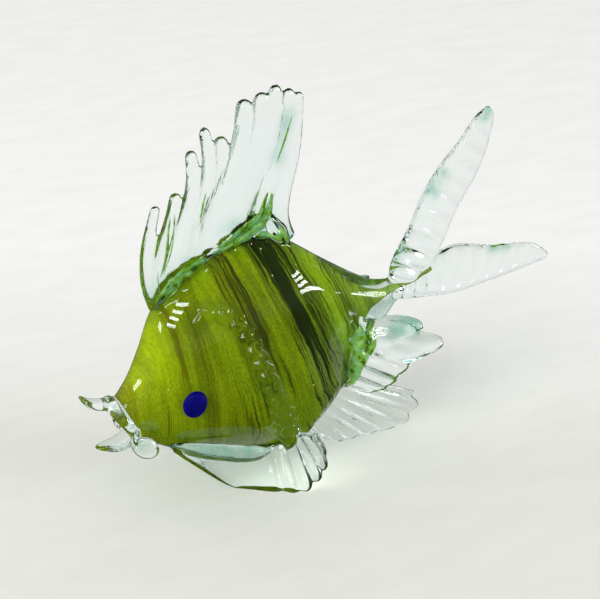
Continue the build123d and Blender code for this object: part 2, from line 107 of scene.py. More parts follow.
# Dorsal rays: place along the body, rise of the bead, girth, then the bend and the tip, each aft and up
DORSAL_RAY_LENGTH, DORSAL_RAY_WIDTH, DORSAL_RAY_THICKNESS = 67.0, 11.0, 6.5
DORSAL_BEAD_HEIGHT, DORSAL_BEAD_WIDTH, DORSAL_BEAD_GROOVE = 15.0, 13.0, 0.25
RAYS = [
    (0.210, 0.60, 0.85, 0.075, 0.278, 0.227, 0.536),
    (0.237, 0.50, 1.00, 0.146, 0.261, 0.312, 0.536),
    (0.278, 0.44, 1.00, 0.269, 0.381, 0.394, 0.731),
    (0.320, 0.39, 0.95, 0.300, 0.409, 0.424, 0.819),
    (0.358, 0.38, 1.15, 0.299, 0.387, 0.413, 0.699),
    (0.400, 0.36, 1.35, 0.322, 0.419, 0.540, 0.840),
    (0.438, 0.38, 1.30, 0.316, 0.361, 0.570, 0.809),
    (0.484, 0.48, 1.10, 0.322, 0.358, 0.561, 0.791),
    (0.564, 0.70, 1.10, 0.236, 0.304, 0.443, 0.733),
    (0.604, 0.62, 0.90, 0.207, 0.378, 0.404, 0.799),
]

# Tail lobes: root place and girth, rise in degrees, length and width
UPPER_LOBE = (0.889, 0.0, 42.5, 88.0, 23.0)
LOWER_LOBE = (0.883, 1.0, -16.0, 78.0, 21.0)
LOBE_THICKNESS, LOBE_RIBS, LOBE_GROOVE = 11.0, 11, 0.34

# Their edges along the lobe and across it
UPPER_LEADING = [
    (-0.06, 0.12), (0.00, 0.30), (0.21, 0.41), (0.36, 0.47), (0.62, 0.45), (0.78, 0.31), (0.94, 0.20),
    (1.00, 0.07),
]
UPPER_TRAILING = [
    (-0.06, -0.16), (0.00, -0.30), (0.21, -0.52), (0.41, -0.46), (0.71, -0.46), (0.85, -0.34), (0.97, -0.17),
]
LOWER_LEADING = [
    (-0.08, 0.10), (0.00, 0.16), (0.12, 0.48), (0.22, 0.72), (0.33, 0.84), (0.45, 0.76), (0.66, 0.55),
    (0.91, 0.35), (1.00, 0.05),
]
LOWER_TRAILING = [
    (-0.08, -0.12), (0.00, -0.20), (0.15, -0.30), (0.32, -0.39), (0.53, -0.33), (0.74, -0.24), (0.98, -0.10),
]

# Fins: root place, girth and lift, then the rim's steps aft, outward and down from it
FRONT_FIN = [
    (0.093, 0.90, -0.5, -0.07, 0.30, 0.08),
    (0.173, 0.87, -0.5, -0.15, 0.49, 0.46),
    (0.265, 0.86, -0.5, -0.32, 0.52, 0.90),
    (0.340, 0.82, -0.5, -0.31, 0.86, 1.00),
    (0.389, 0.75, -0.5, -0.09, 0.98, 1.00),
    (0.412, 0.70, 0.8, 0.18, 0.79, 0.69),
    (0.431, 0.67, 2.0, 0.22, 0.55, 0.39),
    (0.441, 0.66, 2.5, 0.13, 0.37, 0.20),
]
REAR_FIN = [
    (0.660, 0.46, -1.0, 0.91, 0.40, 0.24),
    (0.662, 0.52, -1.0, 0.88, 0.52, 0.15),
    (0.660, 0.58, -1.0, 0.79, 0.62, 0.08),
    (0.652, 0.64, -1.0, 0.68, 0.68, 0.03),
    (0.640, 0.70, -1.0, 0.55, 0.72, -0.03),
    (0.626, 0.77, -1.0, 0.44, 0.72, -0.06),
    (0.608, 0.84, -1.0, 0.38, 0.64, -0.03),
    (0.586, 0.90, -1.0, 0.28, 0.48, -0.02),
]
ANAL_FIN = [
    (0.463, 1.00, -1.0, 0.30, 0.0, 0.72),
    (0.481, 1.00, -1.0, 0.39, 0.0, 0.94),
    (0.500, 1.00, -1.0, 0.49, 0.0, 1.00),
    (0.519, 1.00, -1.0, 0.61, 0.0, 1.00),
    (0.537, 1.00, -1.0, 0.75, 0.0, 0.99),
    (0.556, 1.00, -1.0, 0.92, 0.0, 0.97),
    (0.574, 1.00, -1.0, 1.03, 0.0, 0.84),
    (0.593, 1.00, -1.0, 1.07, 0.0, 0.67),
    (0.611, 1.00, -1.0, 0.96, 0.0, 0.49),
]
FIN_THICKNESS, FIN_GROOVE = 5.0, 0.55
FRONT_FIN_SPREAD, REAR_FIN_SPREAD, ANAL_FIN_SPREAD = 18.0, 38.0, 44.0

# Rolled edge and rounded lobe of the rear fin: steps aft, outward and down from its first root
ROLLED_EDGE = [(0.25, 0.15, 0.32), (0.51, 0.33, 0.19), (0.90, 0.47, 0.16)]
FIN_LOBE = [(0.55, 0.42, 0.44), (0.87, 0.55, 0.37), (1.11, 0.60, 0.36)]
ROLLED_EDGE_WIDTH, FIN_LOBE_WIDTH, REAR_EDGE_THICKNESS = 14.0, 13.0, 5.5

# The thick clear roll along the root of the front fin
FRONT_ROLL = [
    (12.0, -16.5, -18.0),
    (20.0, -19.0, -24.0),
    (33.0, -21.0, -33.0),
    (46.0, -22.0, -41.0),
    (53.0, -21.0, -44.0),
]
FRONT_ROLL_WIDTH, FRONT_ROLL_THICKNESS = 8.5, 6.5

# Gill band: place along the body and girth
GILL_BAND = [
    (0.266, 0.240),
    (0.306, 0.225),
    (0.333, 0.241),
    (0.355, 0.278),
    (0.370, 0.340),
    (0.378, 0.420),
    (0.384, 0.510),
    (0.392, 0.600),
    (0.394, 0.690),
    (0.385, 0.800),
]
GILL_LIFT, GILL_WIDTH, GILL_THICKNESS = 1.8, 10.0, 9.5
GILL_RIBS, GILL_GROOVE = 14, 0.52

# Eyes: the profile is the rise over the skin and the share of the radius
EYE_PLACE, EYE_GIRTH, EYE_RADIUS = 0.178, 0.50, 5.9
EYE_SIDES = 64
EYE_PROFILE = [
    (-2.0, 0.92), (-0.8, 0.99), (0.1, 1.0), (0.35, 0.985), (0.5, 0.93), (0.6, 0.7), (0.64, 0.3), (0.65, 0.05),
]

# Mouth: the middle of the lip ring, its half width and half height, and the radius of its roll
MOUTH = np.array([0.0, 0.0, -4.5])
MOUTH_TILT = math.radians(16.0)
MOUTH_UP = np.array([-math.sin(MOUTH_TILT), 0, math.cos(MOUTH_TILT)])
MOUTH_AHEAD = np.array([-math.cos(MOUTH_TILT), 0, -math.sin(MOUTH_TILT)])
MOUTH_WIDE, MOUTH_HIGH, LIP_RADIUS = 8.0, 10.5, 2.75
LIP_STEPS, LIP_SIDES = 40, 20

# Petals pulled out of the lips: steps from the root, length and width
UPPER_PETAL = ([(-0.45, 0.0, 0.25), (-0.72, 0.0, 0.72)], 15.0, 9.0)
LOWER_PETAL = ([(-0.50, 0.0, -0.05), (-0.97, 0.0, 0.15)], 20.0, 12.5)
CORNER_FLAP = ([(-0.15, -0.5, -0.12), (0.32, -0.92, -0.1)], 16.0, 13.0)
PETAL_THICKNESS = 4.0

# Size of each kind of piece along its length
RAY_SWELL = [
    (0.00, 1.00), (0.30, 0.90), (0.55, 0.76), (0.70, 0.66), (0.82, 0.56), (0.92, 0.53), (0.96, 0.49),
    (0.985, 0.38), (1.00, 0.14),
]
BEAD_SWELL = [(0.0, 0.5), (0.1, 0.85), (0.5, 0.92), (0.8, 1.0), (0.94, 1.35), (1.0, 0.9)]
LOBE_SWELL = [(0.0, 1.0), (0.12, 0.9), (0.3, 0.45), (0.6, 0.33), (0.9, 0.3), (1.0, 0.2)]
FAN_SWELL = [(0.0, 0.4), (0.1, 0.85), (0.5, 1.0), (0.9, 0.85), (1.0, 0.4)]
PETAL_SWELL = [(0.0, 1.0), (0.35, 1.05), (0.6, 0.9), (0.8, 0.62), (0.93, 0.4), (1.0, 0.15)]
FLAP_SWELL = [(0.0, 0.7), (0.4, 0.9), (0.7, 1.0), (0.88, 0.8), (0.97, 0.5), (1.0, 0.25)]
ROLL_SWELL = [(0.0, 0.6), (0.25, 0.9), (0.5, 1.0), (0.75, 0.85), (0.92, 0.55), (1.0, 0.25)]
BAND_SWELL = [(0.0, 0.25), (0.06, 0.7), (0.2, 0.85), (0.6, 0.95), (0.85, 1.1), (0.95, 0.95), (1.0, 0.5)]
WISP_SWELL = [(0.0, 0.1), (0.15, 0.7), (0.5, 1.0), (0.85, 0.6), (1.0, 0.1)]
SPINDLE_SWELL = [(0.0, 0.15), (0.15, 0.7), (0.5, 1.0), (0.85, 0.85), (1.0, 0.25)]


def unit(vector):
    """A vector of length 1, or an array of them"""
    vector = np.asarray(vector, float)
    return vector / np.linalg.norm(vector, axis=-1, keepdims=True)


def between(rows, place):
    """The values at a place among rows that start with their place, on a smooth curve through them"""
    last = len(rows) - 1
    index = max(i for i in range(last) if rows[i][0] <= place)
    before, low, high, after = (np.array(rows[max(0, min(last, index + k))]) for k in (-1, 0, 1, 2))
    step = high[0] - low[0]
    t = (place - low[0]) / step
    low_slope = (high - before)[1:] / (high[0] - before[0]) * step
    high_slope = (after - low)[1:] / (after[0] - low[0]) * step
    rise = (high - low)[1:]
    return low[1:] + t * low_slope + t**2 * (3 * rise - 2 * low_slope - high_slope) + t**3 * (
        low_slope + high_slope - 2 * rise
    )


class Curve:
    """A smooth curve through points, read by the share of its length"""

    def __init__(self, points):
        p = np.array(points, float)
        knots = np.r_[0, np.cumsum(np.linalg.norm(np.diff(p, axis=0), axis=1))]
        count = len(p)
        lhs, rhs = np.eye(count), np.zeros((count, 3))
        for i in range(1, count - 1):
            low, high = knots[i] - knots[i - 1], knots[i + 1] - knots[i]
            lhs[i, i - 1 : i + 2] = low, 2 * (low + high), high
            rhs[i] = 6 * ((p[i + 1] - p[i]) / high - (p[i] - p[i - 1]) / low)
        bend = np.linalg.solve(lhs, rhs)
        at = np.linspace(0, knots[-1], CURVE_POINTS)
        index = np.clip(np.searchsorted(knots, at, side="right") - 1, 0, count - 2)
        width = (knots[index + 1] - knots[index])[:, None]
        a = (knots[index + 1] - at)[:, None] / width
        b = 1 - a
        self.points = a * p[index] + b * p[index + 1] + width**2 / 6 * (
            (a**3 - a) * bend[index] + (b**3 - b) * bend[index + 1]
        )
        run = np.linalg.norm(np.diff(self.points, axis=0), axis=1)
        self.shares = np.r_[0, np.cumsum(run)] / run.sum()
        self.directions = unit(np.gradient(self.points, axis=0))

    def __call__(self, share):
        """The point and the direction at a share of the length"""
        place = [np.interp(share, self.shares, self.points[:, k]) for k in range(3)]
        direction = [np.interp(share, self.shares, self.directions[:, k]) for k in range(3)]
        return np.array(place), unit(direction)


def body_size(place):
    """Top, bottom and half width of the body"""
    top, bottom, half_width = between(BODY, place)
    return top * BODY_HEIGHT, bottom * BODY_HEIGHT, half_width * BODY_WIDTH


def skin(place, girth, lift=0.0):
    """A point of the left skin, from the back (girth 0) to the belly (girth 1)"""
    top, bottom, half_width = body_size(place)
    half_height = (top - bottom) / 2
    angle = math.pi * girth
    point = np.array([
        BODY_LENGTH * place,
        -half_width * math.sin(angle),
        (top + bottom) / 2 + half_height * math.cos(angle),
    ])
    return point + unit([0, -math.sin(angle) / half_width, math.cos(angle) / half_height]) * lift


def height_over_ground(point):
    """Height of a point over the ground when the fish stands"""
    return SNOUT_Z - DOWN @ point


def turn(sides):
    """Angles of a full turn in equal steps"""
    return np.arange(sides) * 2 * math.pi / sides


def mirrored(rings):
    """Sections moved to the other side of the fish"""
    return [ring * MIRROR for ring in rings]


def left_side(places):
    """Places of both sides, all moved to the left side"""
    return places * (1.0, 0.0, 1.0) - np.abs(places * (0.0, 1.0, 0.0))


def moved(aft, out, down):
    """A step aft, outward and down, as the fish stands"""
    return AFT * aft + LEFT * out + DOWN * down


def body_rings(stations, sides, depth=None):
    """Sections of the body, inset by the casing's depth at the top, bottom and sides where one is given"""
    angles = turn(sides)
    rings = []
    for place in stations:
        top, bottom, half_width = body_size(place)
        if depth:
            inset = between(depth, place) * CASING_WALL
            top, bottom, half_width = top - inset[0], bottom + inset[1], half_width - inset[2]
        ring = np.zeros((sides, 3))
        ring[:, 0] = BODY_LENGTH * place
        ring[:, 1] = half_width * np.cos(angles)
        ring[:, 2] = (top + bottom) / 2 + (top - bottom) / 2 * np.sin(angles)
        rings.append(ring)
    return rings


def rib(share, ribs, sharpness=1.6):
    """How deep a share along a piece lies between two ribs, from 0 on a rib to 1 in the groove"""
    return ((1 - math.cos(2 * math.pi * share * ribs)) / 2) ** sharpness


def sheet(inner, outer, thickness, swell, ribs, groove, scallop=0.0, calm=0.0):
    """Sections of a sheet of glass between two curves, crimped into ribs after its calm share"""
    inner, outer = Curve(inner), Curve(outer)
    angles = turn(SHEET_SIDES)
    out = (1 + np.cos(angles)) / 2
    rings = []
    for share in np.linspace(0, 1, int(ribs * RIB_STEPS / (1 - calm)) + 1):
        start, start_along = inner(share)
        end, end_along = outer(share)
        cut = rib((share - calm) / (1 - calm), ribs) if share > calm else 0.0
        reach = (end - start) * (1 - scallop * cut)
        across = unit(np.cross(start_along + end_along, reach))
        half = thickness / 2 * between(swell, share)[0]
        deep = 1 - groove * cut * np.clip(out * 2.2, 0, 1)
        rings.append(start + out[:, None] * reach + (np.sin(angles) * half * deep)[:, None] * across)
    return rings


def strip(path, facing, width, thickness, swell, steps, ribs=0, groove=0.0, sides=20, corner=1.0):
    """Sections of a strip of glass along a path, flat across the direction that it faces"""
    angles = turn(sides)
    wide_share, thick_share = (np.sign(v) * np.abs(v) ** corner for v in (np.cos(angles), np.sin(angles)))
    rings = []
    for step in range(steps + 1):
        share = step / steps
        place, along = path(share)
        size = between(swell, share)[0] * (1 - groove * rib(share, ribs, 1.0))
        normal = facing(share) if callable(facing) else facing
        wide = unit(np.cross(along, normal))
        thick = unit(np.cross(wide, along))
        rings.append(
            place
            + wide_share[:, None] * wide * size * width / 2
            + thick_share[:, None] * thick * size * thickness / 2
        )
    return rings


def fin(rows, spread, ribs, scallop, stands, calm=0.0):
    """Sections of a ribbed fan. The rim of one that the fish stands on goes to the ground."""
    roots = [skin(place, girth, lift * ROOT_DEPTH) for place, girth, lift, *_ in rows]
    rims = []
    for root, (*_, aft, out, down) in zip(roots, rows):
        drop = height_over_ground(root) + FOOT_CUT if stands else spread
        rims.append(root + AFT * aft * spread + LEFT * out * spread + DOWN * down * drop)
    return sheet(roots, rims, FIN_THICKNESS, FAN_SWELL, ribs, FIN_GROOVE, scallop, calm)


def dorsal_fin():
    """The crimped bead along the back, and the rays pulled out of it"""
    crests = [skin(place, 0, rise * DORSAL_BEAD_HEIGHT) for place, rise, *_ in RAYS]
    roots = [skin(place, 0, -ROOT_DEPTH) for place, *_ in RAYS]
    crimps = len(RAYS) - 1
    pieces = [sheet(crests, roots, DORSAL_BEAD_WIDTH, BEAD_SWELL, crimps, DORSAL_BEAD_GROOVE)]
    for crest, (place, _, girth, bend_aft, bend_up, tip_aft, tip_up) in zip(crests, RAYS):
        bend = crest + np.array([bend_aft, 0, bend_up]) * DORSAL_RAY_LENGTH
        tip = crest + np.array([tip_aft, 0, tip_up]) * DORSAL_RAY_LENGTH
        path = Curve([skin(place, 0), crest, bend, tip])
        size = (DORSAL_RAY_WIDTH * girth, DORSAL_RAY_THICKNESS * girth)
        pieces.append(strip(path, LEFT, *size, RAY_SWELL, steps=90))
    return pieces


def tail_lobe(place, girth, rise_deg, length, width, leading, trailing):
    """Sections of a lobe of the tail"""
    root = skin(place, girth)
    rise = math.radians(rise_deg)
    along = np.array([math.cos(rise), 0, math.sin(rise)])
    up = np.array([-math.sin(rise), 0, math.cos(rise)])
    edges = [[root + along * length * a + up * width * b for a, b in rows] for rows in (leading, trailing)]
    return sheet(*edges, LOBE_THICKNESS, LOBE_SWELL, LOBE_RIBS, LOBE_GROOVE)


def gill_band():
    """Sections of the crimped strip over the flank"""
    path = Curve([skin(place, girth, GILL_LIFT) for place, girth in GILL_BAND])
    above = Curve([skin(place, girth, GILL_LIFT * 5) for place, girth in GILL_BAND])
    return strip(
        path, lambda share: above(share)[0] - path(share)[0], GILL_WIDTH, GILL_THICKNESS, BAND_SWELL,
        steps=260, ribs=GILL_RIBS, groove=GILL_GROOVE, sides=28, corner=0.85,
    )


def rear_edge(steps, width, swell):
    """Sections of the rolled upper edge or the rounded lobe of the rear fin"""
    root = skin(REAR_FIN[0][0], REAR_FIN[0][1], -ROOT_DEPTH)
    path = Curve([root] + [root + moved(*step) * REAR_FIN_SPREAD for step in steps])
    return strip(path, LEFT - DOWN, width, REAR_EDGE_THICKNESS, swell, steps=60)


def front_roll():
    """Sections of the thick clear roll along the root of the front fin"""
    return strip(Curve(FRONT_ROLL), LEFT, FRONT_ROLL_WIDTH, FRONT_ROLL_THICKNESS, SPINDLE_SWELL, steps=80)


def lip_ring(side):
    """Sections of half of the rolled ring round the mouth"""
    angles = turn(LIP_SIDES)
    rings = []
    for step in range(LIP_STEPS + 1):
        angle = math.pi * step / LIP_STEPS
        spoke = LEFT * MOUTH_WIDE * math.cos(angle) + MOUTH_UP * side * MOUTH_HIGH * math.sin(angle)
        around = np.cos(angles)[:, None] * unit(spoke) + np.sin(angles)[:, None] * MOUTH_AHEAD
        rings.append(MOUTH + spoke + LIP_RADIUS * around)
    return rings


def petal(root, steps, length, width, swell, facing):
    """Sections of a petal of glass pulled out of a lip"""
    path = Curve([root] + [root + np.array(step) * length for step in steps])
    return strip(path, facing, width, PETAL_THICKNESS, swell, steps=40)


def lips():
    """Both halves of the lip ring with their petals and corner flaps"""
    up = np.array([0.0, 0.0, 1.0])
    aside = np.array([-1.0, -1.0, 0.0])
    upper = MOUTH + MOUTH_UP * MOUTH_HIGH
    lower = MOUTH - MOUTH_UP * MOUTH_HIGH
    corner = MOUTH + LEFT * MOUTH_WIDE * 0.8 - MOUTH_UP * MOUTH_HIGH * 0.55
    flap = petal(corner, *CORNER_FLAP, FLAP_SWELL, aside)
    return [
        lip_ring(1),
        lip_ring(-1),
        petal(upper, *UPPER_PETAL, PETAL_SWELL, up),
        petal(lower, *LOWER_PETAL, PETAL_SWELL, up),
        flap,
        mirrored(flap),
    ]


def eye_dot(sign):
    """Sections of an eye, a low dome on the left (1) or right (-1) of the head"""
    centre = skin(EYE_PLACE, EYE_GIRTH)
    near = 0.01
    aft = unit(skin(EYE_PLACE + near, EYE_GIRTH) - centre)
    up = unit(skin(EYE_PLACE, EYE_GIRTH - near) - centre)
    out = unit(np.cross(up, aft))
    angles = turn(EYE_SIDES)
    spokes = np.cos(angles)[:, None] * aft + np.sin(angles)[:, None] * up
    flip = np.array([1.0, sign, 1.0])
    return [(centre + out * rise + spokes * EYE_RADIUS * size) * flip for rise, size in EYE_PROFILE]


# Green glass drawn into the clear glass: a line of places aft and up, the spread, the width and the count
WISPS = [
    ([(40.4, 51.0), (46.7, 60.4), (52.2, 69.0), (54.0, 75.0)], 1.6, 1.8, 3),
    ([(63.0, 66.0), (66.5, 72.0), (71.0, 79.0)], 1.0, 2.0, 1),
    ([(104.7, 75.9), (110.7, 85.1), (117.8, 94.6)], 1.0, 1.6, 1),
    ([(94.0, 60.0), (88.5, 53.5), (82.1, 52.5), (74.8, 51.5), (66.0, 51.0)], 2.6, 4.2, 9),
    ([(60.0, 49.5), (53.2, 48.0), (45.6, 46.5), (39.6, 43.5), (35.0, 41.0)], 2.2, 3.4, 7),
    ([(86.0, 49.0), (90.3, 46.8), (94.1, 43.8), (97.9, 38.5)], 1.2, 2.6, 5),
    ([(36.0, 41.0), (37.0, 48.0), (38.5, 54.0)], 0.8, 1.2, 1),
    ([(92.5, 55.0), (95.0, 60.0), (97.5, 64.0)], 1.2, 2.6, 3),
    ([(190.0, -17.0), (194.0, -18.4), (199.0, -20.0)], 0.5, 1.1, 2),
]
WISP_THICKNESS, ROOT_WISP_THICKNESS = 0.5, 0.6
WISP_SIDES = 10

# Places where the clear glass is tinted: both ends, as aft, outward and up, and the reach of the tint
TINTS = [
    ((206.8, 0.0, 51.0), (204.3, 0.0, 48.0), 3.0),
    ((176.0, 0.0, 30.5), (170.3, 0.0, 25.8), 4.0),
    ((144.1, 0.0, -0.1), (147.0, 0.0, 6.2), 3.0),
    ((109.1, -27.0, -6.4), (132.6, -27.0, -15.7), 7.0),
    ((14.3, -19.0, -17.4), (49.1, -23.0, -40.3), 5.5),
    ((67.4, -32.0, -64.7), (74.4, -32.0, -50.8), 2.5),
    ((76.5, 0.0, 53.6), (91.4, 0.0, 52.0), 6.0),
    ((91.4, 0.0, 47.4), (97.9, 0.0, 38.0), 5.0),
    ((35.9, 0.0, 42.5), (55.0, 0.0, 49.0), 6.0),
    ((105.4, 0.0, 76.6), (117.0, 0.0, 93.5), 3.0),
    ((191.4, 0.0, -17.5), (198.6, 0.0, -19.9), 3.0),
    ((1.2, -15.0, -8.9), (7.4, -15.0, -8.2), 4.0),
    (skin(*GILL_BAND[-4]), skin(*GILL_BAND[-1]), 5.0),
]


def ribbons(points, spread, width, count, chance):
    """Sections of thin ribbons of green glass that wander along a line inside the clear glass"""
    line = np.array([(aft, 0.0, up) for aft, up in points])
    made = []
    for _ in range(count):
        shift = chance.uniform(-1.0, 1.0, 3) * (spread, 1.2, spread * 0.6)
        path = Curve(line + shift + chance.normal(0.0, 0.5, line.shape) * (1.0, 0.5, 0.7))
        facing = unit([chance.uniform(-0.5, 0.5), -1.0, chance.uniform(-0.5, 0.5)])
        wide = width * chance.uniform(0.35, 1.0)
        made.append(strip(path, facing, wide, WISP_THICKNESS, WISP_SWELL, steps=30, sides=WISP_SIDES))
    return made


def root_ribbons(rows, spread, reach, width, count, chance):
    """Sections of green ribbons that run along the root of a fin, within a reach of its sheet"""
    roots = np.array([skin(place, girth, lift * ROOT_DEPTH) for place, girth, lift, *_ in rows])
    steps = np.array([moved(*row[3:]) for row in rows]) * spread
    made = []
    for _ in range(count):
        share = chance.uniform(*reach) + chance.normal(0.0, 0.015, (len(rows), 1))
        line = roots + steps * share
        facing = unit(np.cross(line[-1] - line[0], steps.mean(axis=0)))
        wide = width * chance.uniform(0.3, 1.0)
        size = (wide, ROOT_WISP_THICKNESS)
        made.append(strip(Curve(line), facing, *size, WISP_SWELL, steps=40, sides=WISP_SIDES))
    return made + [mirrored(rings) for rings in made]


def tint(places):
    """How much tint the clear glass has at places of the level fish"""
    places = left_side(places)
    most = np.zeros(len(places))
    for low, high, reach in TINTS:
        low, high = np.array(low), np.array(high)
        share = np.clip((places - low) @ (high - low) / ((high - low) @ (high - low)), 0, 1)
        away = np.linalg.norm(places - low - share[:, None] * (high - low), axis=1)
        most = np.maximum(most, np.exp(-((away / reach) ** 2)))
    return most


def standing(points):
    """Points of the level fish moved to where they are when it stands, in metres"""
    points = np.asarray(points, float)
    return np.stack([points @ AFT + SNOUT_X, points[..., 1], SNOUT_Z - points @ DOWN], -1) * MM


def laid_level(points):
    """Points of the standing fish, in metres, moved to where they are when it lies level"""
    points = np.asarray(points, float) / MM
    return (points[:, :1] - SNOUT_X) * AFT + (SNOUT_Z - points[:, 2:]) * DOWN - points[:, 1:2] * LEFT


def mesh_object(name, shells):
    """An object of closed shells, each a list of sections"""
    vertices, faces, start = [], [], 0
    for rings in shells:
        count, sides = len(rings), len(rings[0])
        vertices += [point for ring in rings for point in ring]
        for i in range(count - 1):
            for k in range(sides):
                after = (k + 1) % sides
                low, high = start + i * sides, start + (i + 1) * sides
                faces.append((low + k, low + after, high + after, high + k))
        for ring, base in ((rings[0], start), (rings[-1], start + (count - 1) * sides)):
            vertices.append(np.mean(ring, axis=0))
            middle = len(vertices) - 1
            for k in range(sides):
                pair = (base + k, base + (k + 1) % sides)
                faces.append((middle, *(pair if base != start else pair[::-1])))
        # the two middles come after the last section
        start = len(vertices)
    mesh = bpy.data.meshes.new(name)
    mesh.from_pydata([tuple(point) for point in standing(vertices)], [], faces)
    mesh.validate()
    piece = bpy.data.objects.new(name, mesh)
    bpy.context.scene.collection.objects.link(piece)
    return piece


def modified(piece, kind, **settings):
    """Applies a modifier to a piece"""
    modifier = piece.modifiers.new("step", kind)
    for name, value in settings.items():
        setattr(modifier, name, value)
    evaluated = piece.evaluated_get(bpy.context.evaluated_depsgraph_get())
    mesh = bpy.data.meshes.new_from_object(evaluated)
    piece.modifiers.clear()
    old = piece.data
    piece.data = mesh
    bpy.data.meshes.remove(old)


def smooth(piece):
    """Shades a piece smooth"""
    piece.data.polygons.foreach_set("use_smooth", [True] * len(piece.data.polygons))


def point_values(piece, name, kind, field, values):
    """Gives a piece's vertices an attribute. The middles of its ends, which come last, get zeros."""
    padded = np.zeros((len(piece.data.vertices), *values.shape[1:]))
    padded[: len(values)] = values
    piece.data.attributes.new(name, kind, "POINT").data.foreach_set(field, padded.ravel())


# Clear glass: the casing, fins, tail, gill bands and lips, fused into one mesh
halves = [
    fin(FRONT_FIN, FRONT_FIN_SPREAD, ribs=5, scallop=0.06, stands=True, calm=0.55),
    fin(REAR_FIN, REAR_FIN_SPREAD, ribs=6, scallop=0.02, stands=False),
    rear_edge(ROLLED_EDGE, ROLLED_EDGE_WIDTH, ROLL_SWELL),
    rear_edge(FIN_LOBE, FIN_LOBE_WIDTH, FLAP_SWELL),
    gill_band(),
    front_roll(),
]
shells = [body_rings(np.linspace(0, 1, SKIN_STATIONS), SKIN_SIDES)]
shells += dorsal_fin()
shells.append(tail_lobe(*UPPER_LOBE, UPPER_LEADING, UPPER_TRAILING))
shells.append(tail_lobe(*LOWER_LOBE, LOWER_LEADING, LOWER_TRAILING))
shells.append(fin(ANAL_FIN, ANAL_FIN_SPREAD, ribs=7, scallop=0.06, stands=True))
for half in halves:
    shells += [half, mirrored(half)]
shells += lips()
glass = mesh_object("clear_glass", shells)
modified(glass, "REMESH", mode="VOXEL", voxel_size=VOXEL * MM)
modified(glass, "SMOOTH", factor=0.5, iterations=5)
for vertex in glass.data.vertices:
    vertex.co.z = max(vertex.co.z, 0.0)
smooth(glass)
corners = np.array([tuple(vertex.co) for vertex in glass.data.vertices])
point_values(glass, "tint", "FLOAT", "value", tint(laid_level(corners)))
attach(glass, "root")
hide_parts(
    "body_casing", "dorsal_fin", "upper_tail_lobe", "lower_tail_lobe", "anal_fin",
    "left_gill_band", "right_gill_band", "left_front_fin", "right_front_fin", "left_rear_fin",
    "right_rear_fin", "upper_lip", "lower_lip",
)

# Core
core_rings = body_rings(np.linspace(*CORE_SPAN, CORE_STATIONS), CORE_SIDES, CASING)
core = mesh_object("streaked_core", [core_rings])
smooth(core)
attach(core, "root")
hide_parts("body_core")

# The core carries the flow of its glass as an attribute: across the streaks, along them, and the side.
# The streaks lean aft at the head, then less and less, and forward at the tail.
FLOW_UNIT = 100.0
HEAD_LEAN, TAIL_LEAN = 0.27, -0.12
LEAN_CHANGE, LEAN_START = 0.005, 15.0
core_places = np.concatenate(core_rings)
x, y, z = core_places.T
lean = np.clip(HEAD_LEAN - LEAN_CHANGE * (x - LEAN_START), TAIL_LEAN, HEAD_LEAN)
point_values(core, "flow", "FLOAT_VECTOR", "vector", np.stack([x - lean * z, z, y], -1) / FLOW_UNIT)

# and how far the gill band covers it, which sets where painted shade darkens the core under the band
BAND_REACH, BAND_EDGE = 6.6, 1.6
band = Curve([skin(place, girth) for place, girth in GILL_BAND]).points[::4]
near = np.min(np.linalg.norm(left_side(core_places)[:, None, :] - band[None, :, :], axis=2), axis=1)
point_values(core, "band_shade_cover", "FLOAT", "value", np.clip((BAND_REACH - near) / BAND_EDGE, 0, 1))

# Ribbons of green glass inside the clear glass
chance = np.random.default_rng(11)
green = [rings for wisp in WISPS for rings in ribbons(*wisp, chance)]
green += root_ribbons(REAR_FIN[1:], REAR_FIN_SPREAD, reach=(0.12, 0.40), width=2.6, count=14, chance=chance)
wisps = mesh_object("green_wisps", green)
smooth(wisps)
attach(wisps, "root")

# Eyes
eyes = []
for side, sign in (("left", 1.0), ("right", -1.0)):
    eye = mesh_object(side + "_eye_dot", [eye_dot(sign)])
    smooth(eye)
    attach(eye, "root")
    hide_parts(side + "_eye")
    eyes.append(eye)


def srgb(red, green, blue):
    """A colour written as on a screen, from 0 to 255"""
    linear = [c / 255 / 12.92 if c <= 10 else ((c / 255 + 0.055) / 1.055) ** 2.4 for c in (red, green, blue)]
    return (*linear, 1.0)


